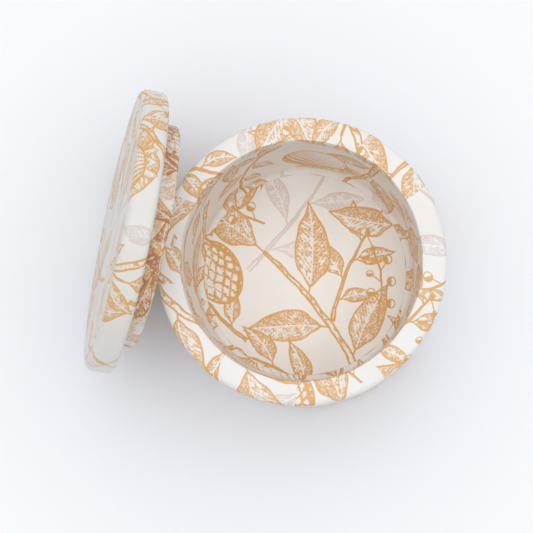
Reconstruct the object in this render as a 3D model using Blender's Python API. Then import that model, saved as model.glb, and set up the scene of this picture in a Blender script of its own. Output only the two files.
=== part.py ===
"""Small round decoupage box with a stepped lift-off lid.

A turned wooden cup and a turned wooden lid are covered all over with pieces of printed paper:
a base piece turned up over the bottom edge, a band round the wall, short strips folded over the
rim, a band in the bore and a disc on the floor. The lid has a disc on top, a band folded round
its edge, a ring on its step, a band round its plug and a disc on the plug's face.

The cup stands on its base. The lid stands on its edge beside it and leans on the rim.
Units are metres and +Z is up. The origin is the centre of the cup's underside.
"""

import math

import bmesh
import bpy
from mathutils import Matrix, Vector

# Cup, measured over its paper
BOX_DIAMETER = 0.090
BOX_HEIGHT = 0.050
RIM_WIDTH = 0.008
FLOOR_THICKNESS = 0.0085
BORE_DRAFT = 0.0014
FLOOR_FILLET = 0.0015
RIM_OUTER_ROUND = 0.002
RIM_INNER_ROUND = 0.0015
BASE_ROUND = 0.002

# Lid, measured over its paper
LID_OVERHANG = 0.0
LID_THICKNESS = 0.0085
LID_TOP_ROUND = 0.0025
LID_UNDER_ROUND = 0.0015
PLUG_DEPTH = 0.0055
PLUG_CLEARANCE = 0.0011
PLUG_ROUND = 0.0008

# Paper and the glue line that it lies on
PAPER = 0.0004
GLUE_GAP = 0.0003
SEAM = 0.0003

# How far each edge piece is folded past its corner
BASE_TURN_UP = 0.0035
RIM_LAP_OUTSIDE = 0.0045
RIM_LAP_INSIDE = 0.0035
LID_TUCK_UNDER = 0.002

# The lid leaning on the rim: tilt from upright, side of the cup, and the gap where they touch
LEAN_DEGREES = 15.3
LID_BEARING_DEGREES = 169.75
REST_GAP = 0.0003

# Rim strips, anticlockwise from the first seam
RIM_FIRST_SEAM_DEGREES = 30.0
RIM_STRIP_SHARES = (32, 33, 24, 33, 38, 42, 36, 37, 40, 45)

# Seams of the long bands, turned away from the lid
WALL_SEAM_DEGREES = 62.0
BORE_SEAM_DEGREES = 20.0
LID_EDGE_SEAM_DEGREES = 250.0
PLUG_SEAM_DEGREES = 290.0

# Fineness of the round forms
TURN_STEPS = 60
CORNER_STEPS = 3
MERGE_DISTANCE = 0.000001
SMOOTH_DEGREES = 35.0

# Sizes that follow from the ones above
BOX_RADIUS = BOX_DIAMETER / 2
MOUTH_RADIUS = BOX_RADIUS - RIM_WIDTH
LID_RADIUS = BOX_RADIUS + LID_OVERHANG
BORE_SLOPE = math.atan2(BORE_DRAFT, BOX_HEIGHT - FLOOR_THICKNESS)
WOOD_INSET = PAPER + GLUE_GAP
FULL_TURN = 2 * math.pi


def bore_radius(height):
    """Radius of the papered bore at a height; it narrows evenly towards the floor."""
    return MOUTH_RADIUS - (BOX_HEIGHT - height) * math.tan(BORE_SLOPE)


PLUG_RADIUS = bore_radius(BOX_HEIGHT - PLUG_DEPTH) - PLUG_CLEARANCE


def arc(centre, radius, start_degrees, end_degrees, steps=CORNER_STEPS):
    """Points (radius, height) along a round corner, both ends included."""
    points = []
    for step in range(steps + 1):
        angle = math.radians(start_degrees + (end_degrees - start_degrees) * step / steps)
        points.append((centre[0] + radius * math.cos(angle), centre[1] + radius * math.sin(angle)))
    return points


# Cup outlines

def base_path(inset):
    """Underside and bottom corner, from the axis out and up to the fold's end."""
    centre = (BOX_RADIUS - BASE_ROUND, BASE_ROUND)
    corner = arc(centre, BASE_ROUND - inset, -90, 0)
    return [(0, inset)] + corner + [(BOX_RADIUS - inset, BASE_TURN_UP)]


def rim_corners(inset):
    """The rim's outer corner, its flat top and its inner corner, from outside to inside."""
    outer = (BOX_RADIUS - RIM_OUTER_ROUND, BOX_HEIGHT - RIM_OUTER_ROUND)
    inner_height = BOX_HEIGHT - RIM_INNER_ROUND
    inner = (bore_radius(inner_height) + RIM_INNER_ROUND / math.cos(BORE_SLOPE), inner_height)
    slope = math.degrees(BORE_SLOPE)
    return (arc(outer, RIM_OUTER_ROUND - inset, 0, 90)
            + arc(inner, RIM_INNER_ROUND - inset, 90, 180 - slope))


def rim_path(inset):
    """A rim strip's surface: up the wall, over the rim and down into the bore."""
    lap_height = BOX_HEIGHT - RIM_LAP_INSIDE
    start = (BOX_RADIUS - inset, BOX_HEIGHT - RIM_LAP_OUTSIDE)
    end = (bore_radius(lap_height) + inset / math.cos(BORE_SLOPE), lap_height)
    return [start] + rim_corners(inset) + [end]


def floor_corner(inset):
    """The fillet between bore and floor, from the bore down to the floor."""
    height = FLOOR_THICKNESS + FLOOR_FILLET
    centre = (bore_radius(height) - FLOOR_FILLET / math.cos(BORE_SLOPE), height)
    return arc(centre, FLOOR_FILLET + inset, -math.degrees(BORE_SLOPE), -90)


def bore_path(inset):
    """The bore's surface below the rim strips, down to the edge of the floor."""
    top_height = BOX_HEIGHT - RIM_LAP_INSIDE - SEAM
    top = (bore_radius(top_height) + inset / math.cos(BORE_SLOPE), top_height)
    return [top] + floor_corner(inset)


def cup_wood_outline():
    """The whole section of the turned cup, from the base's centre to the floor's centre."""
    centre = (BOX_RADIUS - BASE_ROUND, BASE_ROUND)
    base_corner = arc(centre, BASE_ROUND - WOOD_INSET, -90, 0)
    floor_centre = (0, FLOOR_THICKNESS - WOOD_INSET)
    return ([(0, WOOD_INSET)] + base_corner + rim_corners(WOOD_INSET)
            + floor_corner(WOOD_INSET) + [floor_centre])


def wall_outline():
    """Section of the band round the wall, between the base piece and the rim strips."""
    low = BASE_TURN_UP + SEAM
    high = BOX_HEIGHT - RIM_LAP_OUTSIDE - SEAM
    inside = BOX_RADIUS - PAPER
    return [(BOX_RADIUS, low), (BOX_RADIUS, high), (inside, high), (inside, low)]


def disc_outline(radius, low):
    """Section of a flat paper disc whose underside is at a height."""
    return [(0, low), (radius, low), (radius, low + PAPER), (0, low + PAPER)]


# Lid outlines, about the lid's own axis: its step is at height zero and its plug points down

def lid_edge_path(inset):
    """The lid's edge, from its flat top round to the piece that is tucked under its step."""
    top = (LID_RADIUS - LID_TOP_ROUND, LID_THICKNESS - LID_TOP_ROUND)
    under = (LID_RADIUS - LID_UNDER_ROUND, LID_UNDER_ROUND)
    return (arc(top, LID_TOP_ROUND - inset, 90, 0)
            + arc(under, LID_UNDER_ROUND - inset, 0, -90))


def plug_corner(inset):
    """The round corner of the plug's face, from its side to its face."""
    centre = (PLUG_RADIUS - PLUG_ROUND, PLUG_ROUND - PLUG_DEPTH)
    return arc(centre, PLUG_ROUND - inset, 0, -90)


def lid_wood_outline():
    """The whole section of the turned lid, from its top's centre to its plug's centre."""
    root = (PLUG_RADIUS - WOOD_INSET, WOOD_INSET)
    return ([(0, LID_THICKNESS - WOOD_INSET)] + lid_edge_path(WOOD_INSET) + [root]
            + plug_corner(WOOD_INSET) + [(0, WOOD_INSET - PLUG_DEPTH)])


def lid_edge_outline():
    """Section of the band folded round the lid's edge."""
    tuck = LID_RADIUS - LID_UNDER_ROUND - LID_TUCK_UNDER
    return (lid_edge_path(0) + [(tuck, 0), (tuck, PAPER)]
            + list(reversed(lid_edge_path(PAPER))))


def lid_step_outline():
    """Section of the flat ring between the tucked edge and the plug."""
    outside = LID_RADIUS - LID_UNDER_ROUND - LID_TUCK_UNDER - SEAM
    inside = PLUG_RADIUS + SEAM
    return [(inside, 0), (outside, 0), (outside, PAPER), (inside, PAPER)]


def plug_edge_outline():
    """Section of the band round the plug, folded over the plug's corner."""
    top = [(PLUG_RADIUS - PAPER, PAPER), (PLUG_RADIUS, PAPER)]
    return top + plug_corner(0) + list(reversed(plug_corner(PAPER)))


# Making the pieces

def make_material(name, colour, roughness):
    """A plain material with one colour and one roughness."""
    material = bpy.data.materials.new(name)
    material.use_nodes = True
    shader = material.node_tree.nodes["Principled BSDF"]
    shader.inputs["Base Color"].default_value = (*colour, 1)
    shader.inputs["Roughness"].default_value = roughness
    shader.inputs["Metallic"].default_value = 0
    return material


def turned_piece(name, outline, look, start_degrees=0.0, sweep=FULL_TURN, parent=None):
    """Turns a section about the Z axis: all the way round, or from one seam to the next."""
    whole = sweep == FULL_TURN
    meets_axis = outline[0][0] == 0 and outline[-1][0] == 0
    mesh = bpy.data.meshes.new(name)
    shape = bmesh.new()
    points = [shape.verts.new((radius, 0, height)) for radius, height in outline]
    pairs = list(zip(points, points[1:]))
    if not meets_axis:
        pairs.append((points[-1], points[0]))
    section = [shape.edges.new(pair) for pair in pairs]
    bmesh.ops.rotate(shape, verts=points, cent=(0, 0, 0),
                     matrix=Matrix.Rotation(math.radians(start_degrees), 3, "Z"))
    steps = max(2, round(TURN_STEPS * sweep / FULL_TURN))
    bmesh.ops.spin(shape, geom=points + section, cent=(0, 0, 0), axis=(0, 0, 1),
                   angle=sweep, steps=steps, use_merge=whole)
    bmesh.ops.remove_doubles(shape, verts=shape.verts, dist=MERGE_DISTANCE)
    if not whole:
        open_edges = [edge for edge in shape.edges if edge.is_boundary]
        bmesh.ops.holes_fill(shape, edges=open_edges, sides=0)
    bmesh.ops.recalc_face_normals(shape, faces=shape.faces)
    shape.to_mesh(mesh)
    shape.free()
    mesh.shade_smooth()
    mesh.set_sharp_from_angle(angle=math.radians(SMOOTH_DEGREES))
    piece = bpy.data.objects.new(name, mesh)
    mesh.materials.append(make_material(name + "_finish", *look))
    bpy.context.collection.objects.link(piece)
    piece.parent = parent
    return piece


def seamed_piece(name, outline, look, seam_degrees, inner_radius, parent=None):
    """A paper band that goes once round and stops short of its own start by one seam."""
    seam_angle = SEAM / inner_radius
    start = seam_degrees + math.degrees(seam_angle / 2)
    return turned_piece(name, outline, look, start, FULL_TURN - seam_angle, parent)


def make_cup():
    """The turned cup and the paper on its base, wall, bore and floor."""
    turned_piece("cup_wood", cup_wood_outline(), WOOD_LOOK, LID_BEARING_DEGREES)
    turned_piece("base_paper", base_path(0) + list(reversed(base_path(PAPER))), PAPER_LOOK,
                 LID_BEARING_DEGREES)
    seamed_piece("wall_paper", wall_outline(), PAPER_LOOK, WALL_SEAM_DEGREES,
                 BOX_RADIUS - PAPER)
    floor_edge = floor_corner(0)[-1][0]
    seamed_piece("bore_paper", bore_path(0) + list(reversed(bore_path(PAPER))), PAPER_LOOK,
                 BORE_SEAM_DEGREES, floor_edge)
    turned_piece("floor_paper", disc_outline(floor_edge - SEAM, FLOOR_THICKNESS - PAPER),
                 PAPER_LOOK)


def make_rim_strips():
    """Short strips folded over the rim, one after another round the cup."""
    outline = rim_path(0) + list(reversed(rim_path(PAPER)))
    seam_angle = SEAM / bore_radius(BOX_HEIGHT - RIM_LAP_INSIDE)
    start = RIM_FIRST_SEAM_DEGREES
    for number, share in enumerate(RIM_STRIP_SHARES, 1):
        pitch = FULL_TURN * share / sum(RIM_STRIP_SHARES)
        turned_piece(f"rim_strip_{number:02d}", outline, PAPER_LOOK,
                     start + math.degrees(seam_angle / 2), pitch - seam_angle)
        start += math.degrees(pitch)


def leaning_frame():
    """An empty at the centre of the lid's step, set so that the lid leans on the rim.

    Its +Z is the way the lid's top faces and its +Y runs up the lid. The lid stands on its
    lower round edge, and its plug's face lies one gap away from the rim's outer corner.
    """
    lean = math.radians(LEAN_DEGREES)
    bearing = math.radians(LID_BEARING_DEGREES)
    away = Vector((math.cos(bearing), math.sin(bearing), 0))
    up = Vector((0, 0, 1))
    facing = away * math.cos(lean) + up * math.sin(lean)
    along = up * math.cos(lean) - away * math.sin(lean)
    height = ((LID_RADIUS - LID_UNDER_ROUND) * math.cos(lean)
              + LID_UNDER_ROUND * (1 - math.sin(lean)))
    rim_corner = away * (BOX_RADIUS - RIM_OUTER_ROUND) + up * (BOX_HEIGHT - RIM_OUTER_ROUND)
    reach = rim_corner.dot(facing) + RIM_OUTER_ROUND + REST_GAP + PLUG_DEPTH
    distance = (reach - height * math.sin(lean)) / math.cos(lean)
    frame = bpy.data.objects.new("lid_frame", None)
    bpy.context.collection.objects.link(frame)
    turn = Matrix((along.cross(facing), along, facing)).transposed()
    frame.matrix_world = Matrix.Translation(away * distance + up * height) @ turn.to_4x4()
    return frame


def make_lid():
    """The turned lid and the paper on its top, edge, step and plug."""
    frame = leaning_frame()
    turned_piece("lid_wood", lid_wood_outline(), WOOD_LOOK, -90, parent=frame)
    turned_piece("lid_top_paper",
                 disc_outline(LID_RADIUS - LID_TOP_ROUND - SEAM, LID_THICKNESS - PAPER),
                 PAPER_LOOK, parent=frame)
    seamed_piece("lid_edge_paper", lid_edge_outline(), PAPER_LOOK, LID_EDGE_SEAM_DEGREES,
                 LID_RADIUS - LID_UNDER_ROUND - LID_TUCK_UNDER, frame)
    turned_piece("lid_step_paper", lid_step_outline(), PAPER_LOOK, parent=frame)
    seamed_piece("plug_edge_paper", plug_edge_outline(), RUST_PAPER_LOOK, PLUG_SEAM_DEGREES,
                 PLUG_RADIUS - PLUG_ROUND, frame)
    turned_piece("plug_face_paper",
                 disc_outline(PLUG_RADIUS - PLUG_ROUND - SEAM, -PLUG_DEPTH),
                 PAPER_LOOK, parent=frame)


def clear_scene():
    """Removes whatever objects the file starts with."""
    for old in list(bpy.data.objects):
        bpy.data.objects.remove(old, do_unlink=True)


# Looks: colour and roughness
WOOD_LOOK = ((0.62, 0.43, 0.24), 0.65)
PAPER_LOOK = ((0.84, 0.76, 0.65), 0.45)
RUST_PAPER_LOOK = ((0.62, 0.33, 0.18), 0.55)

clear_scene()
make_cup()
make_rim_strips()
make_lid()
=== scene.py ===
"""Looks of a small round decoupage box: printed paper folded over turned wood, on a pale floor."""

import math

import bmesh
import bpy
from bpy.props import FloatProperty, FloatVectorProperty, PointerProperty
from mathutils import Matrix, Vector, noise


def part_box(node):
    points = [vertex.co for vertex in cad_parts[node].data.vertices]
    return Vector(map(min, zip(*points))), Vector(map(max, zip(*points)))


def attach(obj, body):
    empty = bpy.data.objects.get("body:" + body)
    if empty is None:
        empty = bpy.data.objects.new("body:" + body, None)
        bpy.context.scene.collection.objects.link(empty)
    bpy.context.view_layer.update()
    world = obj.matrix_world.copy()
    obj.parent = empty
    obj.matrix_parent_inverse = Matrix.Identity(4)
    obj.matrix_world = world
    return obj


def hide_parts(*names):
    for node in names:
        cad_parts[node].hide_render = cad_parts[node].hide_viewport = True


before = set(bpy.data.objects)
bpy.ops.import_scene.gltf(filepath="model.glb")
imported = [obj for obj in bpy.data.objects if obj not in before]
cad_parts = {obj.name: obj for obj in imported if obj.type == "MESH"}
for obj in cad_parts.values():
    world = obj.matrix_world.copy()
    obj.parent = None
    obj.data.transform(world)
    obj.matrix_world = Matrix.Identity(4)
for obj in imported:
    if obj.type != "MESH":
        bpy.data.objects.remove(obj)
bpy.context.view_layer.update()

bl_info = {
    "name": "Decoupage Box",
    "version": (1, 0, 0),
    "blender": (4, 5, 0),
    "location": "View3D > Sidebar > Decoupage Box",
    "description": "Printed paper pieces folded over a turned box and its stepped lid",
    "category": "Object",
}

# Sizes read from the frame, in metres
BOX_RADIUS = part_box("base_paper")[1].x
BOX_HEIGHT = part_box("rim_strip_01")[1].z
FLOOR_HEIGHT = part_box("floor_paper")[1].z
BASE_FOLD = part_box("base_paper")[1].z

# The rim's rounds, a little crisper than the construction's
RIM_OUTER_ROUND = 0.0018
RIM_INNER_ROUND = 0.0011

# The rest of the turned forms, as the construction has them
RIM_WIDTH = 0.008
BORE_DRAFT = 0.0014
FLOOR_FILLET = 0.0015
BASE_ROUND = 0.002
LID_THICKNESS = 0.0085
LID_TOP_ROUND = 0.0025
LID_UNDER_ROUND = 0.0015
PLUG_DEPTH = 0.0055
PLUG_CLEARANCE = 0.0011
PLUG_ROUND = 0.0008
RIM_LAP_OUTSIDE = 0.0045
RIM_LAP_INSIDE = 0.0035
LID_TUCK_UNDER = 0.002

# How the lid leans: from upright, which way, its gap to the rim, and the construction's rim round
LEAN = math.radians(15.3)
LID_BEARING = math.radians(169.75)
REST_GAP = 0.0003
LEANING_ROUND = 0.002

# Where the first rim strip starts, and the strips' widths as shares
RIM_FIRST_SEAM = math.radians(30)
RIM_STRIP_SHARES = (32, 33, 24, 33, 38, 42, 36, 37, 40, 45)

# Where each piece was cut from the printed sheet: its middle in millimetres, its turn in degrees
FLOOR_CROP = (27, 38, -62)
BORE_CROP = (36, 4, -12)
WALL_CROP = (0, 40, 8)
BASE_CROP = (20, 30, 40)
RIM_CROPS = ((27, 74, -78), (2, 39, -2), (51, 34, 62), (4, 57, -57), (92, 51, -86),
             (17, 16, 25), (28, 38, 80), (30, 59, -25), (36, 23, 21), (46, 55, -31))
LID_TOP_CROP = (60, 45, 70)
LID_EDGE_CROP = (93, 40, -161)
LID_STEP_CROP = (20, 70, 0)
PLUG_EDGE_CROP = (98, 57, 17)
PLUG_FACE_CROP = (40, 40, 30)

# Where the long bands start, and how far the ends of the rim strips lean to either side
WALL_SEAM = math.radians(62)
BORE_SEAM = math.radians(20)
LID_EDGE_SEAM = math.radians(250)
PLUG_SEAM = math.radians(290)
STRIP_SKEW = math.radians(2.5)

# How high the second and the third layer of paper lie over the first
SECOND_LAYER = 0.00005
THIRD_LAYER = 0.0001

# How much higher a band lies where it starts, over its own end or over the strip before it
LAP_RISE = 0.00005

# How far the lid's edge band lies over the disc on top, and over the ring on the step
TOP_LAP = 0.0005
STEP_LAP = 0.0004

MOUTH_RADIUS = BOX_RADIUS - RIM_WIDTH
BORE_SLOPE = math.atan2(BORE_DRAFT, BOX_HEIGHT - FLOOR_HEIGHT)
PLUG_RADIUS = MOUTH_RADIUS - PLUG_DEPTH * math.tan(BORE_SLOPE) - PLUG_CLEARANCE
FULL_TURN = 2 * math.pi

# Millimetres on the printed sheet to a metre of paper, and plain millimetres to a metre
PRINT_SCALE = 900
MILLIMETRES = 1000

# How finely the paper is meshed
CELL = 0.0011
FEWEST_CELLS = 4
ARC_STEPS = 6
DISC_SPOKES = 144

# Length of the wrinkles as a share of the slow waves' length, and how far their pattern is moved
WRINKLE_SHARE = 0.22
WRINKLE_SHIFT = Vector((7, 3, 1))

# Length of the waves in a cut edge, in metres
CUT_WAVE = 0.006

# Two faces of a piece of paper that meet more sharply than this meet at a cut edge
CUT_ANGLE = math.radians(50)

# The floor's size, the middle of the painted shade round the box, and from where to where that
# shade pales out
FLOOR_HALF_WIDTH = 3
FLOOR_SHADE_MIDDLE = (-0.013, -0.002)
FLOOR_SHADE_FADE = (0.05, 0.135)

# The room's tint, how fast the softbox fades, and how bright the room itself looks
ROOM_TINT = (0.985, 0.99, 1, 1)
SOFTBOX_FALL = 3
SEEN_ROOM = 0.95
LAMP_SPREAD = math.radians(60)

# The camera's sensor in millimetres, and how near it sees
SENSOR_WIDTH = 36
CLIP_START = 0.01

# What the length and colour properties share
LENGTH = {"subtype": "DISTANCE", "unit": "LENGTH"}
COLOUR = {"subtype": "COLOR", "size": 3, "min": 0, "max": 1}


class PaperSizes(bpy.types.PropertyGroup):
    """Sizes of the paper and of the unevenness under it."""

    thickness: FloatProperty(
        name="Paper thickness", description="How thick one piece of paper looks at its edge",
        default=0.0001, **LENGTH)
    headroom: FloatProperty(
        name="Headroom", description="How far the paper lies inside the measured size",
        default=0.00026, **LENGTH)
    unevenness: FloatProperty(
        name="Unevenness", description="Depth of the slow waves in the turned surface",
        default=0.00022, **LENGTH)
    wave_length: FloatProperty(
        name="Wave length", description="Distance from one slow wave to the next",
        default=0.017, **LENGTH)
    wrinkle: FloatProperty(
        name="Wrinkles", description="Depth of the small wrinkles in the glued paper",
        default=0.00004, **LENGTH)
    overlap: FloatProperty(
        name="Overlap", description="How far one strip lies over the next",
        default=0.0014, **LENGTH)
    hand_cut: FloatProperty(
        name="Hand cutting", description="How far a cut edge strays from its line",
        default=0.0003, **LENGTH)


class PrintColours(bpy.types.PropertyGroup):
    """Colours of the printed paper and of the wood."""

    paper: FloatVectorProperty(
        name="Paper", description="Unprinted paper under its varnish",
        default=(0.885, 0.872, 0.85), **COLOUR)
    # Painted shade: the lid's paper is the box's paper drawn darker and greyer, for the shade the
    # lid lies in
    lid_paper: FloatVectorProperty(
        name="Lid's paper", description="Unprinted paper of the lid, greyer from handling",
        default=(0.787, 0.778, 0.745), **COLOUR)
    ochre: FloatVectorProperty(
        name="Ochre ink", description="Colour of the main print",
        default=(0.705, 0.37, 0.086), **COLOUR)
    # Painted sheen: the rim's ink is paler than the ochre elsewhere, for the light's sheen on the
    # rim's top as well as for wear
    rim_ochre_worn_and_sheen: FloatVectorProperty(
        name="Rim's ochre ink", description="Colour of the main print on the rim, where it's worn",
        default=(0.75, 0.408, 0.14), **COLOUR)
    mauve: FloatVectorProperty(
        name="Mauve ink", description="Colour of the faint second print",
        default=(0.62, 0.455, 0.395), **COLOUR)
    rust: FloatVectorProperty(
        name="Rust stain", description="Colour of the print's stains round the plug, and at edges",
        default=(0.46, 0.165, 0.042), **COLOUR)
    wood: FloatVectorProperty(
        name="Wood", description="Bare turned wood under the paper",
        default=(0.62, 0.43, 0.24), **COLOUR)
    varnish: FloatProperty(
        name="Varnish", description="How much varnish lies over the box's paper", default=0.06)
    lid_varnish: FloatProperty(
        name="Lid's varnish", description="How much varnish lies over the lid's paper",
        default=0.3)


class StudioSettings(bpy.types.PropertyGroup):
    """Camera, floor and lamps."""

    camera_place: FloatVectorProperty(
        name="Camera place", description="Where the camera stands",
        default=(0.01304, -0.04807, 0.46306), subtype="TRANSLATION", unit="LENGTH", size=3)
    camera_turn: FloatVectorProperty(
        name="Camera turn", description="How far the camera is turned from looking straight down",
        default=(math.radians(6.348), math.radians(3.27), 0), subtype="EULER", size=3)
    lens: FloatProperty(
        name="Lens", description="Focal length in millimetres on the 36 mm wide sensor",
        default=91.36)
    # Painted shade: the floor round the box is drawn darker than the floor farther out
    floor: FloatVectorProperty(
        name="Floor", description="Colour of the floor round the box",
        default=(0.845, 0.865, 0.914), **COLOUR)
    far_floor: FloatVectorProperty(
        name="Floor farther out", description="Colour of the floor some way from the box",
        default=(0.93, 0.94, 0.963), **COLOUR)
    sky: FloatProperty(
        name="Light all round", description="Strength of the light from every side", default=0.28)
    softbox: FloatProperty(
        name="Softbox", description="Strength of the wide soft light overhead", default=1.68)
    softbox_side: FloatVectorProperty(
        name="Softbox side", description="Direction in which the middle of the softbox lies",
        default=(0.06, 0.07, 0.99), subtype="DIRECTION", size=3)
    lamp: FloatProperty(
        name="Lamp", description="Strength of the soft lamp", default=0.25)


# Turned forms

def arc(centre, radius, start_degrees, end_degrees):
    """Points (radius, height) along a round corner, both ends included."""
    points = []
    for step in range(ARC_STEPS + 1):
        angle = math.radians(start_degrees + (end_degrees - start_degrees) * step / ARC_STEPS)
        points.append((centre[0] + radius * math.cos(angle), centre[1] + radius * math.sin(angle)))
    return points


def bore_radius(height):
    """Radius of the bore at a height; it narrows evenly towards the floor."""
    return MOUTH_RADIUS - (BOX_HEIGHT - height) * math.tan(BORE_SLOPE)


def cup_outline():
    """The cup's surface from the underside's centre, over the rim and in to the floor's centre."""
    slope = math.degrees(BORE_SLOPE)
    inner_height = BOX_HEIGHT - RIM_INNER_ROUND
    inner = (bore_radius(inner_height) + RIM_INNER_ROUND / math.cos(BORE_SLOPE), inner_height)
    fillet_height = FLOOR_HEIGHT + FLOOR_FILLET
    fillet = (bore_radius(fillet_height) - FLOOR_FILLET / math.cos(BORE_SLOPE), fillet_height)
    return ([(0, 0)]
            + arc((BOX_RADIUS - BASE_ROUND, BASE_ROUND), BASE_ROUND, -90, 0)
            + arc((BOX_RADIUS - RIM_OUTER_ROUND, BOX_HEIGHT - RIM_OUTER_ROUND),
                  RIM_OUTER_ROUND, 0, 90)
            + arc(inner, RIM_INNER_ROUND, 90, 180 - slope)
            + arc(fillet, FLOOR_FILLET, -slope, -90)
            + [(0, FLOOR_HEIGHT)])


def lid_outline():
    """The lid's surface from the plug's centre, out over step and edge, to the top's centre."""
    return ([(0, -PLUG_DEPTH)]
            + arc((PLUG_RADIUS - PLUG_ROUND, PLUG_ROUND - PLUG_DEPTH), PLUG_ROUND, -90, 0)
            + [(PLUG_RADIUS, 0)]
            + arc((BOX_RADIUS - LID_UNDER_ROUND, LID_UNDER_ROUND), LID_UNDER_ROUND, -90, 0)
            + arc((BOX_RADIUS - LID_TOP_ROUND, LID_THICKNESS - LID_TOP_ROUND),
                  LID_TOP_ROUND, 0, 90)
            + [(0, LID_THICKNESS)])


def leaning_place():
    """Where the lid's step has its centre and how the lid is turned, leaning on the rim."""
    away = Vector((math.cos(LID_BEARING), math.sin(LID_BEARING), 0))
    up = Vector((0, 0, 1))
    facing = away * math.cos(LEAN) + up * math.sin(LEAN)
    along = up * math.cos(LEAN) - away * math.sin(LEAN)
    height = ((BOX_RADIUS - LID_UNDER_ROUND) * math.cos(LEAN)
              + LID_UNDER_ROUND * (1 - math.sin(LEAN)))
    corner = away * (BOX_RADIUS - LEANING_ROUND) + up * (BOX_HEIGHT - LEANING_ROUND)
    reach = corner.dot(facing) + LEANING_ROUND + REST_GAP + PLUG_DEPTH
    distance = (reach - height * math.sin(LEAN)) / math.cos(LEAN)
    turn = Matrix((along.cross(facing), along, facing)).transposed()
    return Matrix.Translation(away * distance + up * height) @ turn.to_4x4()


class TurnedForm:
    """A turned surface that paper is folded over: its outline, its place and its unevenness."""

    def __init__(self, outline, place, body, sizes):
        self.points = [Vector(point) for point in outline]
        self.place = place
        self.body = body
        self.sizes = sizes
        self.marks = [0.0]
        for first, second in zip(self.points, self.points[1:]):
            self.marks.append(self.marks[-1] + (second - first).length)
        self.length = self.marks[-1]

    def mark_at(self, height, inside=False):
        """Distance along the outline to where it passes a height, outside or inside the cup."""
        found = []
        for number, (first, second) in enumerate(zip(self.points, self.points[1:])):
            low, high = sorted((first.y, second.y))
            if low <= height <= high and high > low:
                share = (height - first.y) / (second.y - first.y)
                found.append(self.marks[number] + share * (second - first).length)
        return found[-1] if inside else found[0]

    def on_outline(self, mark):
        """Radius, height and outward direction at a distance along the outline."""
        mark = min(max(mark, 0), self.length)
        number = 0
        while number < len(self.points) - 2 and self.marks[number + 1] < mark:
            number += 1
        first, second = self.points[number], self.points[number + 1]
        run = (second - first).length
        share = (mark - self.marks[number]) / run
        spot = first.lerp(second, share)
        way = (self.way(number - 1) + self.way(number)).lerp(
            self.way(number) + self.way(number + 1), share).normalized()
        return spot, Vector((way.y, -way.x))

    def way(self, number):
        """Direction of one run of the outline; past either end it is the end run's."""
        number = min(max(number, 0), len(self.points) - 2)
        return (self.points[number + 1] - self.points[number]).normalized()

    def surface(self, angle, mark, lift):
        """A point on the uneven surface, raised by the lift, in the frame's own axes."""
        spot, outward = self.on_outline(mark)
        sizes = self.sizes
        spoke = Vector((math.cos(angle), math.sin(angle)))
        flat = Vector((spot.x * spoke.x, spot.x * spoke.y, spot.y))
        slow = noise.noise(flat / sizes.wave_length)
        quick = noise.noise(flat / (sizes.wave_length * WRINKLE_SHARE) + WRINKLE_SHIFT)
        raised = lift - sizes.headroom + sizes.unevenness * slow + sizes.wrinkle * quick
        direction = Vector((outward.x * spoke.x, outward.x * spoke.y, outward.y))
        return self.place @ (flat + direction * raised)


# Cutting and folding paper

def flat_band(length, width):
    """A flat rectangle of paper from (0, 0) to (length, width)."""
    shape = bmesh.new()
    columns = max(FEWEST_CELLS, round(length / CELL))
    rows = max(FEWEST_CELLS, round(width / CELL))
    bmesh.ops.create_grid(shape, x_segments=columns, y_segments=rows, size=0.5)
    bmesh.ops.translate(shape, verts=shape.verts, vec=(0.5, 0.5, 0))
    bmesh.ops.scale(shape, verts=shape.verts, vec=(length, width, 1))
    return shape


def flat_ring(inner_radius, outer_radius):
    """A flat disc of paper, or a ring where the inner radius isn't zero."""
    shape = bmesh.new()
    rows = max(FEWEST_CELLS, round((outer_radius - inner_radius) / CELL))
    step = (outer_radius - inner_radius) / rows
    spoke = [shape.verts.new((inner_radius + step * row, 0, 0)) for row in range(rows + 1)]
    runs = [shape.edges.new(pair) for pair in zip(spoke, spoke[1:])]
    bmesh.ops.spin(shape, geom=spoke + runs, cent=(0, 0, 0), axis=(0, 0, 1), angle=FULL_TURN,
                   steps=DISC_SPOKES, use_merge=True)
    bmesh.ops.remove_doubles(shape, verts=shape.verts, dist=CELL / 100)
    return shape


def keep_print(shape, crop, middle=(0, 0)):
    """Stores the flat paper's place on the printed sheet, in millimetres, as its UV map.

    A crop is the place on the sheet that the paper's middle is cut from, and the paper's turn.
    """
    x, y, degrees = crop
    turn = Matrix.Rotation(math.radians(degrees), 2)
    layer = shape.loops.layers.uv.new("print")
    for face in shape.faces:
        for corner in face.loops:
            spot = turn @ (Vector(corner.vert.co[:2]) - Vector(middle)) * PRINT_SCALE
            corner[layer].uv = (spot.x + x, spot.y + y)


def keep_edges(shape, edge_distance):
    """Stores each point's distance from the nearest cut edge, in millimetres."""
    layer = shape.verts.layers.float.new("cut_edge")
    for vert in shape.verts:
        vert[layer] = edge_distance(vert.co) * MILLIMETRES


def finish_paper(name, shape, form, outward, material, nodes):
    """Makes the folded shape a piece that rides on its body and stands for its nodes."""
    shape.normal_update()
    middle = min(shape.faces, key=lambda face: (face.calc_center_median() - outward[0]).length)
    if middle.normal.dot(outward[1] - outward[0]) < 0:
        bmesh.ops.reverse_faces(shape, faces=shape.faces)
    mesh = bpy.data.meshes.new(name)
    shape.to_mesh(mesh)
    shape.free()
    mesh.shade_smooth()
    mesh.materials.append(material)
    piece = bpy.data.objects.new(name, mesh)
    bpy.context.scene.collection.objects.link(piece)
    thick = piece.modifiers.new("paper_thickness", "SOLIDIFY")
    thick.thickness = form.sizes.thickness
    thick.offset = -1
    piece.data = bpy.data.meshes.new_from_object(
        piece.evaluated_get(bpy.context.evaluated_depsgraph_get()))
    piece.modifiers.clear()
    piece.data.name = name
    piece.data.set_sharp_from_angle(angle=CUT_ANGLE)
    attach(piece, form.body)
    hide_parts(*nodes)
    return piece


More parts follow.
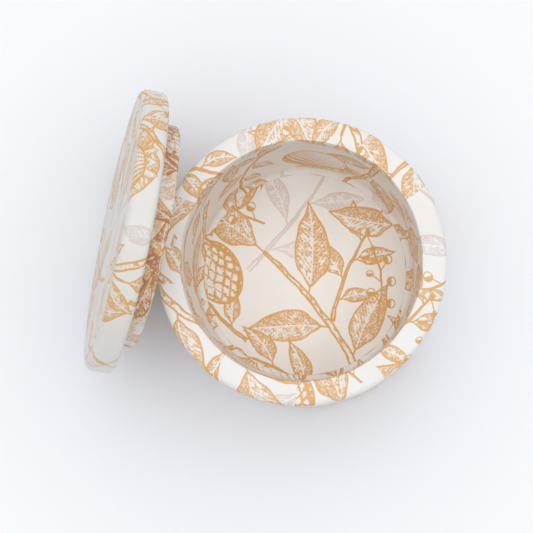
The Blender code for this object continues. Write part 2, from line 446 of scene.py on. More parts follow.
def fold_band(name, form, marks, angles, crop, material, nodes, lift=0.0, over=0.0, skew=0.0):
    """Folds a flat band round the form, between two marks on its outline and two angles.

    The start of the band is raised where it lies over the end of the piece before it.
    """
    low, high = marks
    start, end = angles
    middle, _ = form.on_outline((low + high) / 2)
    reach = abs(middle.x)
    length = (end - start) * reach
    width = high - low
    shape = flat_band(length, width)
    keep_print(shape, crop, middle=(length / 2, width / 2))
    keep_edges(shape, lambda co: min(co.x, length - co.x, co.y, width - co.y))
    sizes = form.sizes
    for vert in shape.verts:
        along, across = vert.co.x, vert.co.y
        share = across / width
        stray = sizes.hand_cut * noise.noise(Vector((along / CUT_WAVE, share * 2, crop[0])))
        across += stray * math.sin(math.pi * abs(share - 0.5))
        raised = over * (1 - smooth_rise(along, sizes.overlap, sizes.overlap * 3))
        angle = start + along / reach + skew * (share - 0.5)
        vert.co = form.surface(angle, low + across, lift + raised)
    outward = (form.surface((start + end) / 2, (low + high) / 2, 0),
               form.surface((start + end) / 2, (low + high) / 2, CELL))
    return finish_paper(name, shape, form, outward, material, nodes)


def fold_ring(name, form, radii, mark_of, crop, material, nodes, lift=0.0):
    """Lays a flat disc or ring on the form; mark_of gives the outline's mark for a flat radius."""
    inner, outer = radii
    shape = flat_ring(inner, outer)
    keep_print(shape, crop)
    if inner:
        keep_edges(shape, lambda co: min(outer - co.length, co.length - inner))
    else:
        keep_edges(shape, lambda co: outer - co.length)
    for vert in shape.verts:
        radius = vert.co.length
        angle = math.atan2(vert.co.y, vert.co.x)
        vert.co = form.surface(angle, mark_of(radius), lift)
    middle = mark_of((inner + outer) / 2)
    outward = (form.surface(0, middle, 0), form.surface(0, middle, CELL))
    return finish_paper(name, shape, form, outward, material, nodes)


def smooth_rise(value, low, high):
    """Rises smoothly from 0 at the low value to 1 at the high one."""
    share = min(max((value - low) / (high - low), 0), 1)
    return share * share * (3 - 2 * share)


# Shader maths

class Value:
    """A number on its way through a node tree, which can be written in sums."""

    def __init__(self, recipe, socket):
        self.recipe = recipe
        self.socket = socket

    def maths(self, operation, *others, swap=False):
        """One Math node on this value and the others."""
        numbers = (*others, self) if swap else (self, *others)
        made = self.recipe.node("ShaderNodeMath", {"operation": operation},
                                dict(enumerate(numbers)))
        return Value(self.recipe, made.outputs[0])

    def __add__(self, other):
        return self.maths("ADD", other)

    __radd__ = __add__

    def __sub__(self, other):
        return self.maths("SUBTRACT", other)

    def __rsub__(self, other):
        return self.maths("SUBTRACT", other, swap=True)

    def __mul__(self, other):
        return self.maths("MULTIPLY", other)

    __rmul__ = __mul__

    def __truediv__(self, other):
        return self.maths("DIVIDE", other)

    def __rtruediv__(self, other):
        return self.maths("DIVIDE", other, swap=True)

    def __abs__(self):
        return self.maths("ABSOLUTE")

    def scaled(self, factor, plus):
        """This value times a factor, plus another value, in one node."""
        return self.maths("MULTIPLY_ADD", factor, plus)

    def floor(self):
        return self.maths("FLOOR")

    def fraction(self):
        return self.maths("FRACT")

    def root(self):
        return self.maths("SQRT")

    def lesser(self, other):
        return self.maths("MINIMUM", other)

    def greater(self, other):
        return self.maths("MAXIMUM", other)

    def above(self, other):
        return self.maths("GREATER_THAN", other)

    def below(self, other):
        return self.maths("LESS_THAN", other)

    def between(self, low, high):
        """1 from the low value to the high one, otherwise 0."""
        return self.maths("COMPARE", (low + high) / 2, (high - low) / 2)

    def to_and_fro(self, width):
        """Climbs from 0 to the width and back, over and over."""
        return self.maths("PINGPONG", width)

    def mapped(self, low, high, first, second):
        """Goes smoothly from the first value at low to the second at high."""
        made = self.recipe.node("ShaderNodeMapRange", {"interpolation_type": "SMOOTHSTEP"},
                                {"Value": self, "From Min": low, "From Max": high,
                                 "To Min": first, "To Max": second})
        return Value(self.recipe, made.outputs[0])

    def rise(self, low, high):
        """Goes smoothly from 0 at low to 1 at high."""
        return self.mapped(low, high, 0, 1)

    def choose(self, first, second):
        """The first value where this one is 0, the second where it is 1."""
        made = self.recipe.node("ShaderNodeMix", {"data_type": "FLOAT"},
                                {0: self, 2: first, 3: second})
        return Value(self.recipe, made.outputs[0])


class Recipe:
    """Adds the nodes of one material or node group."""

    def __init__(self, tree):
        self.tree = tree

    def node(self, kind, settings=None, sockets=None):
        """One node of a type: its settings first, then the values or links of its sockets."""
        made = self.tree.nodes.new(kind)
        for name, setting in (settings or {}).items():
            if name == "bends":
                self.set_bends(made.mapping, setting)
            else:
                setattr(made, name, setting)
        for name, value in (sockets or {}).items():
            self.feed(made.inputs[name], value)
        return made

    def feed(self, socket, value):
        """Links a socket, or sets its own value."""
        if isinstance(value, Value):
            value = value.socket
        if isinstance(value, bpy.types.NodeSocket):
            self.tree.links.new(value, socket)
        else:
            socket.default_value = value

    def set_bends(self, mapping, points):
        """Draws a curve node's only curve through points."""
        curve = mapping.curves[0]
        while len(curve.points) < len(points):
            curve.points.new(1, 1)
        for point, place in zip(curve.points, points):
            point.location = place
        mapping.update()

    def value(self, kind, settings=None, sockets=None, output=0):
        """One node's output as a value for sums."""
        return Value(self, self.node(kind, settings, sockets).outputs[output])

    def noise(self, place, scale, detail=1.0, flat=False):
        """Cloudy noise, on a flat sheet or through a solid."""
        return self.value("ShaderNodeTexNoise", {"noise_dimensions": "2D" if flat else "3D"},
                          {"Vector": place, "Scale": scale, "Detail": detail})

    def split(self, vector):
        """A vector's X and Y as values."""
        made = self.node("ShaderNodeSeparateXYZ", None, {0: vector})
        return Value(self, made.outputs[0]), Value(self, made.outputs[1])

    def local(self, vector, place, degrees):
        """A vector seen from a place on the sheet that is turned by an angle."""
        made = self.node("ShaderNodeMapping", {"vector_type": "TEXTURE"},
                         {"Vector": vector, "Location": (*place, 0),
                          "Rotation": (0, 0, math.radians(degrees))})
        return made.outputs[0]

    def length(self, vector):
        """A vector's length as a value."""
        return self.value("ShaderNodeVectorMath", {"operation": "LENGTH"}, {0: vector}, 1)


# The printed sheet, in millimetres

SHEET_WIDTH = 100
SHEET_HEIGHT = 84
OUTLINE = 0.7
SOFT = 0.18

# Half widths of a leaf from its foot to its tip, as shares
LEAF_OUTLINE = ((0, 0), (0.12, 0.42), (0.36, 0.97), (0.62, 0.8), (0.86, 0.27), (1, 0))
LANCE_OUTLINE = ((0, 0), (0.2, 0.5), (0.5, 1), (0.8, 0.62), (1, 0))
SPOON_OUTLINE = ((0, 0), (0.25, 0.24), (0.55, 0.7), (0.8, 1), (0.95, 0.6), (1, 0))


class PrintedSheet:
    """The print as it grows: each motif covers what lies behind it."""

    def __init__(self, recipe, place):
        self.recipe = recipe
        self.place = place
        self.grain = recipe.noise(place, 2.6, flat=True).scaled(0.9, -0.2)
        self.wobble = recipe.noise(place, 0.2, flat=True) - 0.5
        self.patch = recipe.noise(place, 0.5, flat=True).scaled(1.3, -0.65)
        self.drift = self.wobble * 3
        self.stipple = (self.grain + self.patch).rise(0.24, 0.39)
        self.tone = recipe.noise(place, 1.5, flat=True).mapped(0.38, 0.6, 0.55, 1)
        self.ochre = 0
        self.mauve = 0

    def lay(self, inside, ink):
        """Covers what is behind with a motif in the main ink."""
        self.ochre = inside.choose(self.ochre, ink)
        self.mauve = inside.choose(self.mauve, 0)

    def shade(self, inside, ink):
        """Covers what is behind with a motif in the faint second ink."""
        self.mauve = inside.choose(self.mauve, ink)

    def hatched(self, lines, density):
        """Engraver's hatching: lines broken by grain, closing up as the density rises."""
        return (self.grain + lines + density).rise(0.86, 1.1)

    def nearest(self, middle):
        """The sheet's repeat, laid so that a motif's middle is never near its border."""
        half = Vector((SHEET_WIDTH / 2, SHEET_HEIGHT / 2, 1))
        middle = Vector((*middle, 0))
        wrapped = self.recipe.node("ShaderNodeVectorMath", {"operation": "WRAP"},
                                   {0: self.place, 1: middle + half, 2: middle - half})
        return wrapped.outputs[0]

    def along_arc(self, start, heading, bend, length, tip):
        """Distances along and across a branch that bends steadily; left of it is positive."""
        radius = 1 / abs(bend)
        side = math.copysign(1, bend)
        angle = math.radians(heading)
        centre = Vector(start) + side * radius * Vector((-math.sin(angle), math.cos(angle)))
        reach = (length + tip) / 2
        middle = math.radians(heading - side * 90) + side * reach / radius
        halfway = centre + radius * Vector((math.cos(middle), math.sin(middle)))
        vector = self.recipe.local(self.nearest(halfway), centre, math.degrees(middle))
        x, y = self.recipe.split(vector)
        along = y.maths("ARCTAN2", x).scaled(side * radius, reach)
        across = self.recipe.length(vector).scaled(-side, radius * side)
        return along, across

    def stem(self, along, across, length, thickness):
        """A twig that thins towards its end, drawn as two outlines with stipple between."""
        half = along.scaled(-0.25 * thickness / length, thickness / 2)
        depth = half - abs(across + self.wobble)
        inside = depth.rise(-SOFT / 2, SOFT / 2) * along.between(0, length)
        return inside, depth.rise(OUTLINE, OUTLINE * 0.7).greater(self.stipple)

    def leaf(self, along, across, chance, length, width, outline, dark, light, vein_pitch):
        """A leaf from its stalk's foot at zero to its tip, one half darker than the other."""
        share = along.scaled(1 / length, -0.1) / chance.scaled(0.3, 0.82)
        curl = (share * share).scaled(chance.scaled(1.2 * width, -0.6 * width), across)
        away = abs(curl)
        half = self.recipe.value("ShaderNodeFloatCurve", {"bends": outline}, {1: share})
        depth = half * chance.scaled(0.15 * width, 0.41 * width) - away
        stalk = away.scaled(-1, 0.35).lesser(along).lesser(share.scaled(-length, length * 0.06))
        veins = away.scaled(-1.3, along + self.drift).to_and_fro(vein_pitch / 2)
        density = curl.mapped(-0.1, 0.1, light, dark) + depth.mapped(2, 0.3, 0, 0.3) + self.patch
        marks = self.hatched(veins * (0.9 / vein_pitch), density) * away.rise(0.1, 0.28) * self.tone
        outlined = depth.rise(OUTLINE, OUTLINE * 0.7)
        stalk = stalk.rise(0, SOFT)
        return depth.rise(0, SOFT).greater(stalk), marks.greater(outlined).greater(stalk)

    def side_shoots(self, along, across, length, pitch, spread, seed):
        """Coordinates of the nearest shoot on either side of a branch, or of the one at its tip."""
        angle = math.radians(spread)
        double = 2 * pitch
        away = abs(across)
        left = across.above(0)
        turn = left.scaled(-0.5, away.scaled(-1 / double / math.tan(angle), along * (1 / double)))
        number = turn.floor()
        off = turn.fraction().scaled(double, -pitch)
        base = left.scaled(pitch, number.scaled(double, pitch))
        key = self.recipe.node("ShaderNodeCombineXYZ", None, {0: number, 1: left + seed})
        chance = self.recipe.value("ShaderNodeTexWhiteNoise", {"noise_dimensions": "2D"},
                                   {"Vector": key.outputs[0]})
        shoot_along = away.scaled(1 / math.sin(angle), off * math.cos(angle))
        shoot_across = off * left.scaled(2 * math.sin(angle), -math.sin(angle))
        tip = along.above(length) * away.below(pitch * 0.6)
        kept = base.between(pitch * 0.4, length - pitch).greater(tip)
        return (tip.choose(shoot_along, along - length), tip.choose(shoot_across, across),
                chance, kept)

    def leafy_branch(self, start, heading, bend, length, leaf, pitch, thickness, seed,
                     spread=50, outline=LEAF_OUTLINE, tones=(0.76, 0.54), vein_pitch=1.5,
                     faint=False):
        """A bent twig with leaves on alternate sides and one at its tip."""
        along, across = self.along_arc(start, heading, bend, length, leaf[0])
        twig, twig_ink = self.stem(along, across, length, thickness)
        shoot_along, shoot_across, chance, kept = self.side_shoots(
            along, across, length, pitch, spread, seed)
        inside, ink = self.leaf(shoot_along, shoot_across + self.wobble * 0.4, chance, *leaf,
                                outline, *tones, vein_pitch)
        lay = self.shade if faint else self.lay
        lay(inside * kept, ink)
        lay(twig, twig_ink)

    def berry_sprig(self, start, heading, bend, length, berry, seed, pitch=3.1, spread=45,
                    reach=4.4):
        """A thin stalk with berries on short stalks at alternate sides."""
        along, across = self.along_arc(start, heading, bend, length, reach)
        shoot_along, shoot_across, chance, kept = self.side_shoots(
            along, across, length, pitch, spread, seed)
        from_berry = shoot_along - reach
        distance = (from_berry * from_berry).scaled(1, shoot_across * shoot_across).root()
        depth = chance.scaled(0.6, berry - 0.3) - distance
        stalk = (0.28 - abs(shoot_across)).lesser(shoot_along).lesser(reach - shoot_along)
        twig = (0.42 - abs(across + self.wobble)).rise(0, SOFT) * along.between(0, length)
        shine = (shoot_across + from_berry + self.grain).rise(0.5, 0.2)
        self.lay((stalk.rise(0, SOFT) * kept).greater(twig), 1)
        self.lay(depth.rise(0, SOFT) * kept, depth.rise(0.5, 0.35).greater(shine))

    def oval(self, middle, degrees, width, height):
        """Coordinates on an oval motif, and how deep inside its outline they lie."""
        vector = self.recipe.local(self.nearest(middle), middle, degrees)
        x, y = self.recipe.split(vector)
        across = x * (2 / width)
        upright = y * (2 / height)
        depth = (across * across).scaled(1, upright * upright).root().scaled(-width / 2, width / 2)
        return x, y, upright, depth

    def pod(self, middle, degrees, width, height):
        """A ribbed seed pod with a toothed crown."""
        x, y, upright, depth = self.oval(middle, degrees, width, height)
        away = abs(x)
        risen = y - height * 0.44
        teeth = (x + width * 0.02).to_and_fro(width * 0.1).scaled(-1.6, height * 0.22)
        crown = (teeth - risen).lesser(risen.scaled(0.5, width * 0.2) - away).lesser(risen)
        self.lay(crown.rise(0, SOFT), crown.rise(OUTLINE, OUTLINE * 0.7).greater(self.stipple))
        bulge = (1.04 - upright * upright).greater(0.01).root()
        ribs = (x / bulge).to_and_fro(width * 0.055)
        density = x.mapped(-width / 2, width / 2, 0.12, 0.55) + depth.mapped(2.5, 0, 0, 0.2)
        ink = self.hatched(ribs * (10 / width), density)
        self.lay(depth.rise(0, SOFT), depth.rise(OUTLINE, OUTLINE * 0.7).greater(ink))

    def cone(self, middle, degrees, width, height):
        """A scaly cone: pale scales in a net of ink."""
        x, y, _, depth = self.oval(middle, degrees, width, height)
        cell = width * 0.1
        bent = x + self.drift * 0.7
        net = bent.scaled(1.1, y * 0.7).to_and_fro(cell).lesser(
            bent.scaled(-1.1, y * 0.7).to_and_fro(cell))
        shaded = x.mapped(-width / 2, width / 2, -0.15, 0.2) + depth.mapped(3, 0, 0, 0.35)
        ink = (self.grain + self.patch * 0.5 - net * (1 / cell) + shaded).rise(-0.14, 0.2)
        self.lay(depth.rise(0, SOFT), depth.rise(OUTLINE, OUTLINE * 0.7).greater(ink))

    def flower(self, middle, degrees, radius, petals):
        """An open flower with veined petals and a dotted eye."""
        vector = self.recipe.local(self.nearest(middle), middle, degrees)
        x, y = self.recipe.split(vector)
        reach = self.recipe.length(vector)
        turn = y.maths("ARCTAN2", x) * (petals / FULL_TURN)
        fold = turn.to_and_fro(0.5)
        rim = fold.maths("POWER", 0.4).scaled(radius * 0.5, radius * 0.63)
        depth = rim - reach + self.wobble * 0.5
        gap = (fold * reach).rise(radius * 0.05, radius * 0.03)
        veins = turn.to_and_fro(0.05) * 8
        density = reach.mapped(radius * 0.2, radius, 0.5, 0.12)
        ink = self.hatched(veins, density).greater(gap)
        self.lay(depth.rise(0, SOFT), depth.rise(OUTLINE, OUTLINE * 0.7).greater(ink))
        eye = radius * 0.24 - reach
        dotted = self.stipple.greater(eye.rise(OUTLINE, OUTLINE * 0.5))
        self.lay(eye.rise(0, SOFT), dotted)


def printed_sheet_group():
    """The repeating printed sheet as a node group: place in millimetres in, two inks out.

    What is laid last lies on top. A branch has its start, heading in degrees, bend and length,
    then its leaves' length and width, the distance between them and the twig's thickness.
    """
    group = bpy.data.node_groups.new("printed_sheet", "ShaderNodeTree")
    group.interface.new_socket("Place", in_out="INPUT", socket_type="NodeSocketVector")
    group.interface.new_socket("Ochre", in_out="OUTPUT", socket_type="NodeSocketFloat")
    group.interface.new_socket("Mauve", in_out="OUTPUT", socket_type="NodeSocketFloat")
    recipe = Recipe(group)
    entry = recipe.node("NodeGroupInput")
    sheet = PrintedSheet(recipe, entry.outputs[0])
    sheet.leafy_branch((20, 54), -18, 0.006, 44, leaf=(17, 6), pitch=9, thickness=1.6, seed=3,
                       outline=LANCE_OUTLINE, tones=(0.7, 0.6), faint=True)
    sheet.leafy_branch((74, 76), -64, -0.01, 34, leaf=(13, 6), pitch=8, thickness=1.4, seed=4,
                       tones=(0.7, 0.6), faint=True)
    sheet.leafy_branch((18, 24), 16, -0.012, 36, leaf=(13, 6), pitch=6.5, thickness=1.5, seed=12)
    sheet.leafy_branch((1, 44), 84, -0.02, 24, leaf=(12, 5.5), pitch=6, thickness=1.4, seed=13)
    sheet.leafy_branch((60, 81), -12, 0.012, 46, leaf=(15, 6.8), pitch=7.5, thickness=1.6, seed=11)
    sheet.leafy_branch((4, 81), -24, 0.02, 40, leaf=(16, 8), pitch=8.5, thickness=1.8, seed=9)
    sheet.leafy_branch((4, 4), 52, 0.008, 54, leaf=(26, 11), pitch=11.5, thickness=2.7, seed=1,
                       tones=(0.74, 0.52))
    sheet.leafy_branch((48, 0), 80, -0.012, 46, leaf=(21, 9.5), pitch=10, thickness=2.4, seed=2,
                       tones=(0.74, 0.5))
    sheet.leafy_branch((97, 34), 128, 0.012, 46, leaf=(24, 9), pitch=12, thickness=2.5, seed=5,
                       spread=48, outline=SPOON_OUTLINE, tones=(0.68, 0.5))
    sheet.leafy_branch((78, 2), 24, 0.03, 46, leaf=(12, 5.6), pitch=5.6, thickness=1.5, seed=6,
                       tones=(0.78, 0.54), vein_pitch=1.2)
    sheet.berry_sprig((35, 56), 98, -0.02, 26, berry=1.6, seed=7)
    sheet.berry_sprig((24, 12), 10, 0.03, 24, berry=1.5, seed=8)
    sheet.pod((71, 20), 25, width=19, height=21)
    sheet.cone((15, 62), -35, width=15, height=21)
    sheet.flower((54, 70), 10, radius=11.5, petals=6)
    recipe.node("NodeGroupOutput", None, {"Ochre": sheet.ochre, "Mauve": sheet.mauve})
    return group


# Finishes

BOX_PRINT = "varnished_print"
RIM_PRINT = "varnished_rim_print"
LID_PRINT = "varnished_lid_print"
RUST_PRINT = "varnished_rust_print"

# Scales of the noise: clouds, fibres, stains and specks in the paper, and grain in the wood
CLOUD_SCALE = 90
FIBRE_SCALE = 1500
STAIN_SCALE = 190
SPECK_SCALE = 1100
GRAIN_SCALE = 700

# Shares of the plain colour that are left in yellowed paper, and in the wood's dark grain
YELLOWED_SHARES = (0.965, 0.945, 0.92)
DARK_GRAIN_SHARE = 0.62

# How long the wood's grain is drawn out
GRAIN_STRETCH = (1, 0.12, 1)

# Gloss of paper without varnish, and how dull the varnish is
PAPER_GLOSS = 0.2
VARNISH_DULLNESS = 0.35

# Depth of the fine relief, in metres
PAPER_RELIEF = 0.0003
WOOD_RELIEF = 0.0002


def new_material(name):
    """An empty material and its recipe."""
    material = bpy.data.materials.new(name)
    material.use_nodes = True
    material.node_tree.nodes.clear()
    return material, Recipe(material.node_tree)


def tinted(recipe, factor, first, second):
    """Blends two colours by a factor."""
    made = recipe.node("ShaderNodeMix", {"data_type": "RGBA"}, {0: factor, 6: first, 7: second})
    return made.outputs[2]


def relief(recipe, height, strength, depth):
    """A fine relief for a shader's Normal."""
    made = recipe.node("ShaderNodeBump", None,
                       {"Height": height, "Strength": strength, "Distance": depth})
    return made.outputs[0]


def finish_shader(recipe, sockets):
    """Ends a material with one plain shader."""
    shader = recipe.node("ShaderNodeBsdfPrincipled", None, sockets)
    recipe.node("ShaderNodeOutputMaterial", None, {0: shader.outputs[0]})


def varnished_print(name, sheet, colours, unprinted, ink, varnish):
    """Varnished paper that shows its own part of the printed sheet, worn and stained at edges."""
    material, recipe = new_material(name)
    place = recipe.node("ShaderNodeUVMap", {"uv_map": "print"}).outputs[0]
    body = recipe.node("ShaderNodeTexCoord").outputs["Object"]
    print_node = recipe.node("ShaderNodeGroup", {"node_tree": sheet}, {0: place})
    ochre = Value(recipe, print_node.outputs[0])
    mauve = Value(recipe, print_node.outputs[1])
    cloud = recipe.noise(body, CLOUD_SCALE, detail=3.0)
    fibre = recipe.noise(body, FIBRE_SCALE, detail=2.0)
    edge = recipe.value("ShaderNodeAttribute", {"attribute_name": "cut_edge"}, None, 2)
    paper = (*unprinted, 1)
    yellowed = (*(part * share for part, share in zip(unprinted, YELLOWED_SHARES)), 1)
    colour = tinted(recipe, cloud.rise(0.35, 0.75) * 0.8, paper, yellowed)
    colour = tinted(recipe, mauve * (cloud * 0.5 + 0.25), colour, (*colours.mauve, 1))
    worn = (fibre * 0.3 + cloud * 0.25 + 0.66).lesser(1)
    ink_colour = (*ink, 1)
    if name == RUST_PRINT:
        slow = recipe.noise(body, STAIN_SCALE)
        specks = recipe.noise(body, SPECK_SCALE, detail=2.0).rise(0.46, 0.54)
        colour = tinted(recipe, slow.rise(0.43, 0.48) * specks.scaled(0.45, 0.22), colour,
                        ink_colour)
        ink_colour = tinted(recipe, slow.rise(0.4, 0.5), ink_colour, (*colours.rust, 1))
    colour = tinted(recipe, ochre * worn, colour, ink_colour)
    stain = edge.rise(0.3, 0.0) * (cloud * 0.18)
    colour = tinted(recipe, stain, colour, (*colours.rust, 1))
    finish_shader(recipe, {
        "Base Color": colour, "Roughness": fibre * 0.12 + 0.42,
        "Normal": relief(recipe, fibre * 0.35 + cloud * 0.4, 0.18, PAPER_RELIEF),
        "Specular IOR Level": PAPER_GLOSS + varnish,
        "Coat Weight": varnish, "Coat Roughness": VARNISH_DULLNESS})
    return material


def grained_wood(colours):
    """Pale turned wood with long grain."""
    material, recipe = new_material("grained_wood")
    body = recipe.node("ShaderNodeTexCoord").outputs["Object"]
    stretched = recipe.node("ShaderNodeMapping", None, {"Vector": body, "Scale": GRAIN_STRETCH})
    grain = recipe.noise(stretched.outputs[0], GRAIN_SCALE, detail=5.0)
    light = (*colours.wood, 1)
    dark = (*(part * DARK_GRAIN_SHARE for part in colours.wood), 1)
    colour = tinted(recipe, grain.rise(0.35, 0.7), light, dark)
    finish_shader(recipe, {"Base Color": colour, "Roughness": grain * 0.2 + 0.5,
                           "Normal": relief(recipe, grain, 0.3, WOOD_RELIEF)})
    return material


def paper_material(context, name):
    """One of the printed papers' materials, made once and then shared."""
    if name in bpy.data.materials:
        return bpy.data.materials[name]
    sheet = bpy.data.node_groups.get("printed_sheet") or printed_sheet_group()
    colours = context.scene.decoupage_colours
    # The lid's pieces, the plug's too, take the lid's darker paper: painted shade
    shaded_lid_look = (colours.lid_paper, colours.ochre, colours.lid_varnish)
    looks = {BOX_PRINT: (colours.paper, colours.ochre, colours.varnish),
             # The rim's paler ink is wear together with a painted sheen of the light
             RIM_PRINT: (colours.paper, colours.rim_ochre_worn_and_sheen, colours.varnish),
             LID_PRINT: shaded_lid_look,
             RUST_PRINT: shaded_lid_look}
    return varnished_print(name, sheet, colours, *looks[name])


# The forms as they stand, and bands that go once round them

def cup_form(context):
    """The cup's surface, standing on the floor."""
    return TurnedForm(cup_outline(), Matrix.Identity(4), "box", context.scene.decoupage_sizes)


def lid_form(context):
    """The lid's surface, leaning on the rim."""
    return TurnedForm(lid_outline(), leaning_place(), "lid", context.scene.decoupage_sizes)


def once_round(context, seam, radius):
    """A band's two angles: once round from its seam, and on over its own start."""
    return seam, seam + FULL_TURN + context.scene.decoupage_sizes.overlap / radius


# The stage

def lay_floor(context, studio):
    """A wide plain floor with painted shade: a little darker round the box, paler farther out."""
    shape = bmesh.new()
    bmesh.ops.create_grid(shape, x_segments=1, y_segments=1, size=FLOOR_HALF_WIDTH)
    mesh = bpy.data.meshes.new("floor")
    shape.to_mesh(mesh)
    shape.free()
    floor = bpy.data.objects.new("floor", mesh)
    material, recipe = new_material("floor")
    body = recipe.node("ShaderNodeTexCoord").outputs["Object"]
    reach = recipe.length(recipe.local(body, FLOOR_SHADE_MIDDLE, 0))
    # Painted shade: darker floor round the box, paling to the plain floor farther out
    colour = tinted(recipe, reach.rise(*FLOOR_SHADE_FADE), (*studio.floor, 1), (*studio.far_floor, 1))
    finish_shader(recipe, {"Base Color": colour, "Roughness": 0.7})
    mesh.materials.append(material)
    context.scene.collection.objects.link(floor)


def light_room(context, studio):
    """Light from every side with a wide softbox overhead; the room itself looks pale."""
    world = bpy.data.worlds.new("studio")
    context.scene.world = world
    world.use_nodes = True
    world.node_tree.nodes.clear()
    recipe = Recipe(world.node_tree)
    path = recipe.node("ShaderNodeLightPath")
    seen = Value(recipe, path.outputs["Is Camera Ray"]).greater(
        Value(recipe, path.outputs["Is Glossy Ray"]))
    side = recipe.node("ShaderNodeTexCoord").outputs["Generated"]
    facing = recipe.value("ShaderNodeVectorMath", {"operation": "DOT_PRODUCT"},
                          {0: side, 1: studio.softbox_side.normalized()}, 1)
    light = facing.greater(0).maths("POWER", SOFTBOX_FALL).scaled(studio.softbox, studio.sky)
    sky = recipe.node("ShaderNodeBackground", None,
                      {"Color": ROOM_TINT, "Strength": seen.choose(light, SEEN_ROOM)})
    recipe.node("ShaderNodeOutputWorld", None, {0: sky.outputs[0]})


def place_lamp(context, studio):
    """A weak soft lamp from the softbox's side."""
    lamp = bpy.data.lights.new("lamp", "SUN")
    lamp.energy = studio.lamp
    lamp.angle = LAMP_SPREAD
    soft = bpy.data.objects.new("lamp", lamp)
    soft.rotation_euler = studio.softbox_side.to_track_quat("Z", "Y").to_euler()
    context.scene.collection.objects.link(soft)


def place_camera(context, studio):
    """The camera above the box, where the photograph was taken from."""
    lens = bpy.data.cameras.new("camera")
    lens.lens = studio.lens
    lens.sensor_width = SENSOR_WIDTH
    lens.clip_start = CLIP_START
    camera = bpy.data.objects.new("camera", lens)
    camera.location = studio.camera_place
    camera.rotation_euler = studio.camera_turn
    context.scene.collection.objects.link(camera)
    context.scene.camera = camera


# Operators

class DECOUPAGE_OT_wood(bpy.types.Operator):
    """Gives the turned cup and lid their wood"""

    bl_idname = "decoupage.wood"
    bl_label = "Turned wood"

    def execute(self, context):
        wood = grained_wood(context.scene.decoupage_colours)
        for node in ("cup_wood", "lid_wood"):
            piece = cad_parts[node]
            piece.data.materials.clear()
            piece.data.materials.append(wood)
        return {"FINISHED"}


class DECOUPAGE_OT_cup_paper(bpy.types.Operator):
    """Papers the cup's base, wall, bore and floor"""

    bl_idname = "decoupage.cup_paper"
    bl_label = "Cup paper"

    def execute(self, context):
        form = cup_form(context)
        paper = paper_material(context, BOX_PRINT)
        overlap = context.scene.decoupage_sizes.overlap
        fold_ring("base_sheet", form, (0, form.mark_at(BASE_FOLD)), lambda radius: radius,
                  BASE_CROP, paper, ("base_paper",), lift=SECOND_LAYER)
        wall_low = form.mark_at(BASE_FOLD - overlap)
        wall_high = form.mark_at(BOX_HEIGHT - RIM_LAP_OUTSIDE + overlap)
        fold_band("wall_sheet", form, (wall_low, wall_high),
                  once_round(context, WALL_SEAM, BOX_RADIUS), WALL_CROP, paper,
                  ("wall_paper",), over=LAP_RISE)
        floor_radius = bore_radius(FLOOR_HEIGHT) - FLOOR_FILLET
        bore_top = form.mark_at(BOX_HEIGHT - RIM_LAP_INSIDE + overlap, inside=True)
        bore_low = form.length - floor_radius
        fold_band("bore_sheet", form, (bore_top, bore_low),
                  once_round(context, BORE_SEAM, BOX_RADIUS), BORE_CROP, paper,
                  ("bore_paper",), over=LAP_RISE)
        fold_ring("floor_sheet", form, (0, floor_radius), lambda radius: form.length - radius,
                  FLOOR_CROP, paper, ("floor_paper",), lift=THIRD_LAYER)
        return {"FINISHED"}


class DECOUPAGE_OT_rim_strips(bpy.types.Operator):
    """Folds the short strips over the rim"""

    bl_idname = "decoupage.rim_strips"
    bl_label = "Rim strips"

    def execute(self, context):
        form = cup_form(context)
        paper = paper_material(context, RIM_PRINT)
        low = form.mark_at(BOX_HEIGHT - RIM_LAP_OUTSIDE)
        high = form.mark_at(BOX_HEIGHT - RIM_LAP_INSIDE, inside=True)
        start = RIM_FIRST_SEAM
        tail = context.scene.decoupage_sizes.overlap / BOX_RADIUS
        for number, (share, crop) in enumerate(zip(RIM_STRIP_SHARES, RIM_CROPS), 1):
            end = start + FULL_TURN * share / sum(RIM_STRIP_SHARES)
            fold_band(f"rim_sheet_{number:02d}", form, (low, high), (start, end + tail), crop,
                      paper, (f"rim_strip_{number:02d}",), lift=THIRD_LAYER, over=LAP_RISE,
                      skew=STRIP_SKEW * (-1) ** number)
            start = end
        return {"FINISHED"}


class DECOUPAGE_OT_lid_paper(bpy.types.Operator):
    """Papers the lid's top, edge and step"""

    bl_idname = "decoupage.lid_paper"
    bl_label = "Lid paper"

    def execute(self, context):
        form = lid_form(context)
        paper = paper_material(context, LID_PRINT)
        top_edge = BOX_RADIUS - LID_TOP_ROUND
        fold_ring("lid_top_sheet", form, (0, top_edge), lambda radius: form.length - radius,
                  LID_TOP_CROP, paper, ("lid_top_paper",), lift=SECOND_LAYER)
        step = form.mark_at(0)
        root = step - PLUG_RADIUS
        tuck = BOX_RADIUS - LID_UNDER_ROUND - LID_TUCK_UNDER
        edge_high = form.length - top_edge + TOP_LAP
        fold_band("lid_edge_sheet", form, (root + tuck, edge_high),
                  once_round(context, LID_EDGE_SEAM, BOX_RADIUS), LID_EDGE_CROP, paper,
                  ("lid_edge_paper",), lift=THIRD_LAYER, over=LAP_RISE)
        fold_ring("lid_step_sheet", form, (PLUG_RADIUS, tuck + STEP_LAP),
                  lambda radius: root + radius, LID_STEP_CROP, paper, ("lid_step_paper",))
        return {"FINISHED"}


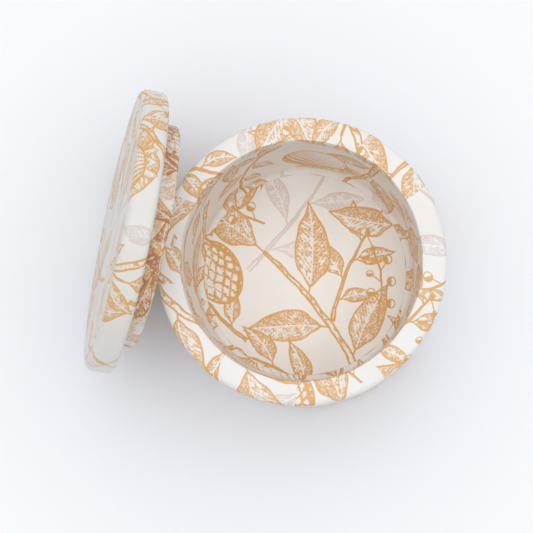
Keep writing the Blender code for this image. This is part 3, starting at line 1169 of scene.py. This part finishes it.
class DECOUPAGE_OT_plug_paper(bpy.types.Operator):
    """Papers the lid's plug"""

    bl_idname = "decoupage.plug_paper"
    bl_label = "Plug paper"

    def execute(self, context):
        form = lid_form(context)
        rust = paper_material(context, RUST_PRINT)
        paper = paper_material(context, LID_PRINT)
        face_edge = PLUG_RADIUS - PLUG_ROUND
        fold_band("plug_edge_sheet", form, (face_edge, form.mark_at(0)),
                  once_round(context, PLUG_SEAM, PLUG_RADIUS), PLUG_EDGE_CROP, rust,
                  ("plug_edge_paper",), lift=THIRD_LAYER, over=LAP_RISE)
        fold_ring("plug_face_sheet", form, (0, face_edge), lambda radius: radius, PLUG_FACE_CROP,
                  paper, ("plug_face_paper",), lift=SECOND_LAYER)
        return {"FINISHED"}


class DECOUPAGE_OT_stage(bpy.types.Operator):
    """Sets the floor, the camera and the lamps"""

    bl_idname = "decoupage.stage"
    bl_label = "Stage"

    def execute(self, context):
        studio = context.scene.decoupage_studio
        lay_floor(context, studio)
        light_room(context, studio)
        place_lamp(context, studio)
        place_camera(context, studio)
        context.scene.view_settings.view_transform = "Standard"
        return {"FINISHED"}


class DECOUPAGE_PT_panel(bpy.types.Panel):
    """Lists the steps that make the box"""

    bl_idname = "DECOUPAGE_PT_panel"
    bl_label = "Decoupage Box"
    bl_space_type = "VIEW_3D"
    bl_region_type = "UI"
    bl_category = "Decoupage Box"

    def draw(self, context):
        """Draws every setting, then a button for each step."""
        for settings in (context.scene.decoupage_sizes, context.scene.decoupage_colours,
                         context.scene.decoupage_studio):
            column = self.layout.column()
            for name in settings.__annotations__:
                column.prop(settings, name)
        for operator in OPERATORS:
            self.layout.operator(operator.bl_idname)


OPERATORS = (DECOUPAGE_OT_wood, DECOUPAGE_OT_cup_paper, DECOUPAGE_OT_rim_strips,
             DECOUPAGE_OT_lid_paper, DECOUPAGE_OT_plug_paper, DECOUPAGE_OT_stage)
CLASSES = (PaperSizes, PrintColours, StudioSettings, *OPERATORS, DECOUPAGE_PT_panel)


def register():
    """Registers the classes and gives the scene its settings."""
    for cls in CLASSES:
        bpy.utils.register_class(cls)
    bpy.types.Scene.decoupage_sizes = PointerProperty(type=PaperSizes)
    bpy.types.Scene.decoupage_colours = PointerProperty(type=PrintColours)
    bpy.types.Scene.decoupage_studio = PointerProperty(type=StudioSettings)


def unregister():
    """Takes the settings and the classes away again."""
    del bpy.types.Scene.decoupage_studio
    del bpy.types.Scene.decoupage_colours
    del bpy.types.Scene.decoupage_sizes
    for cls in reversed(CLASSES):
        bpy.utils.unregister_class(cls)


def main():
    """Makes every piece, then the stage."""
    register()
    bpy.ops.decoupage.wood()
    bpy.ops.decoupage.cup_paper()
    bpy.ops.decoupage.rim_strips()
    bpy.ops.decoupage.lid_paper()
    bpy.ops.decoupage.plug_paper()
    bpy.ops.decoupage.stage()


if __name__ == "__main__":
    main()
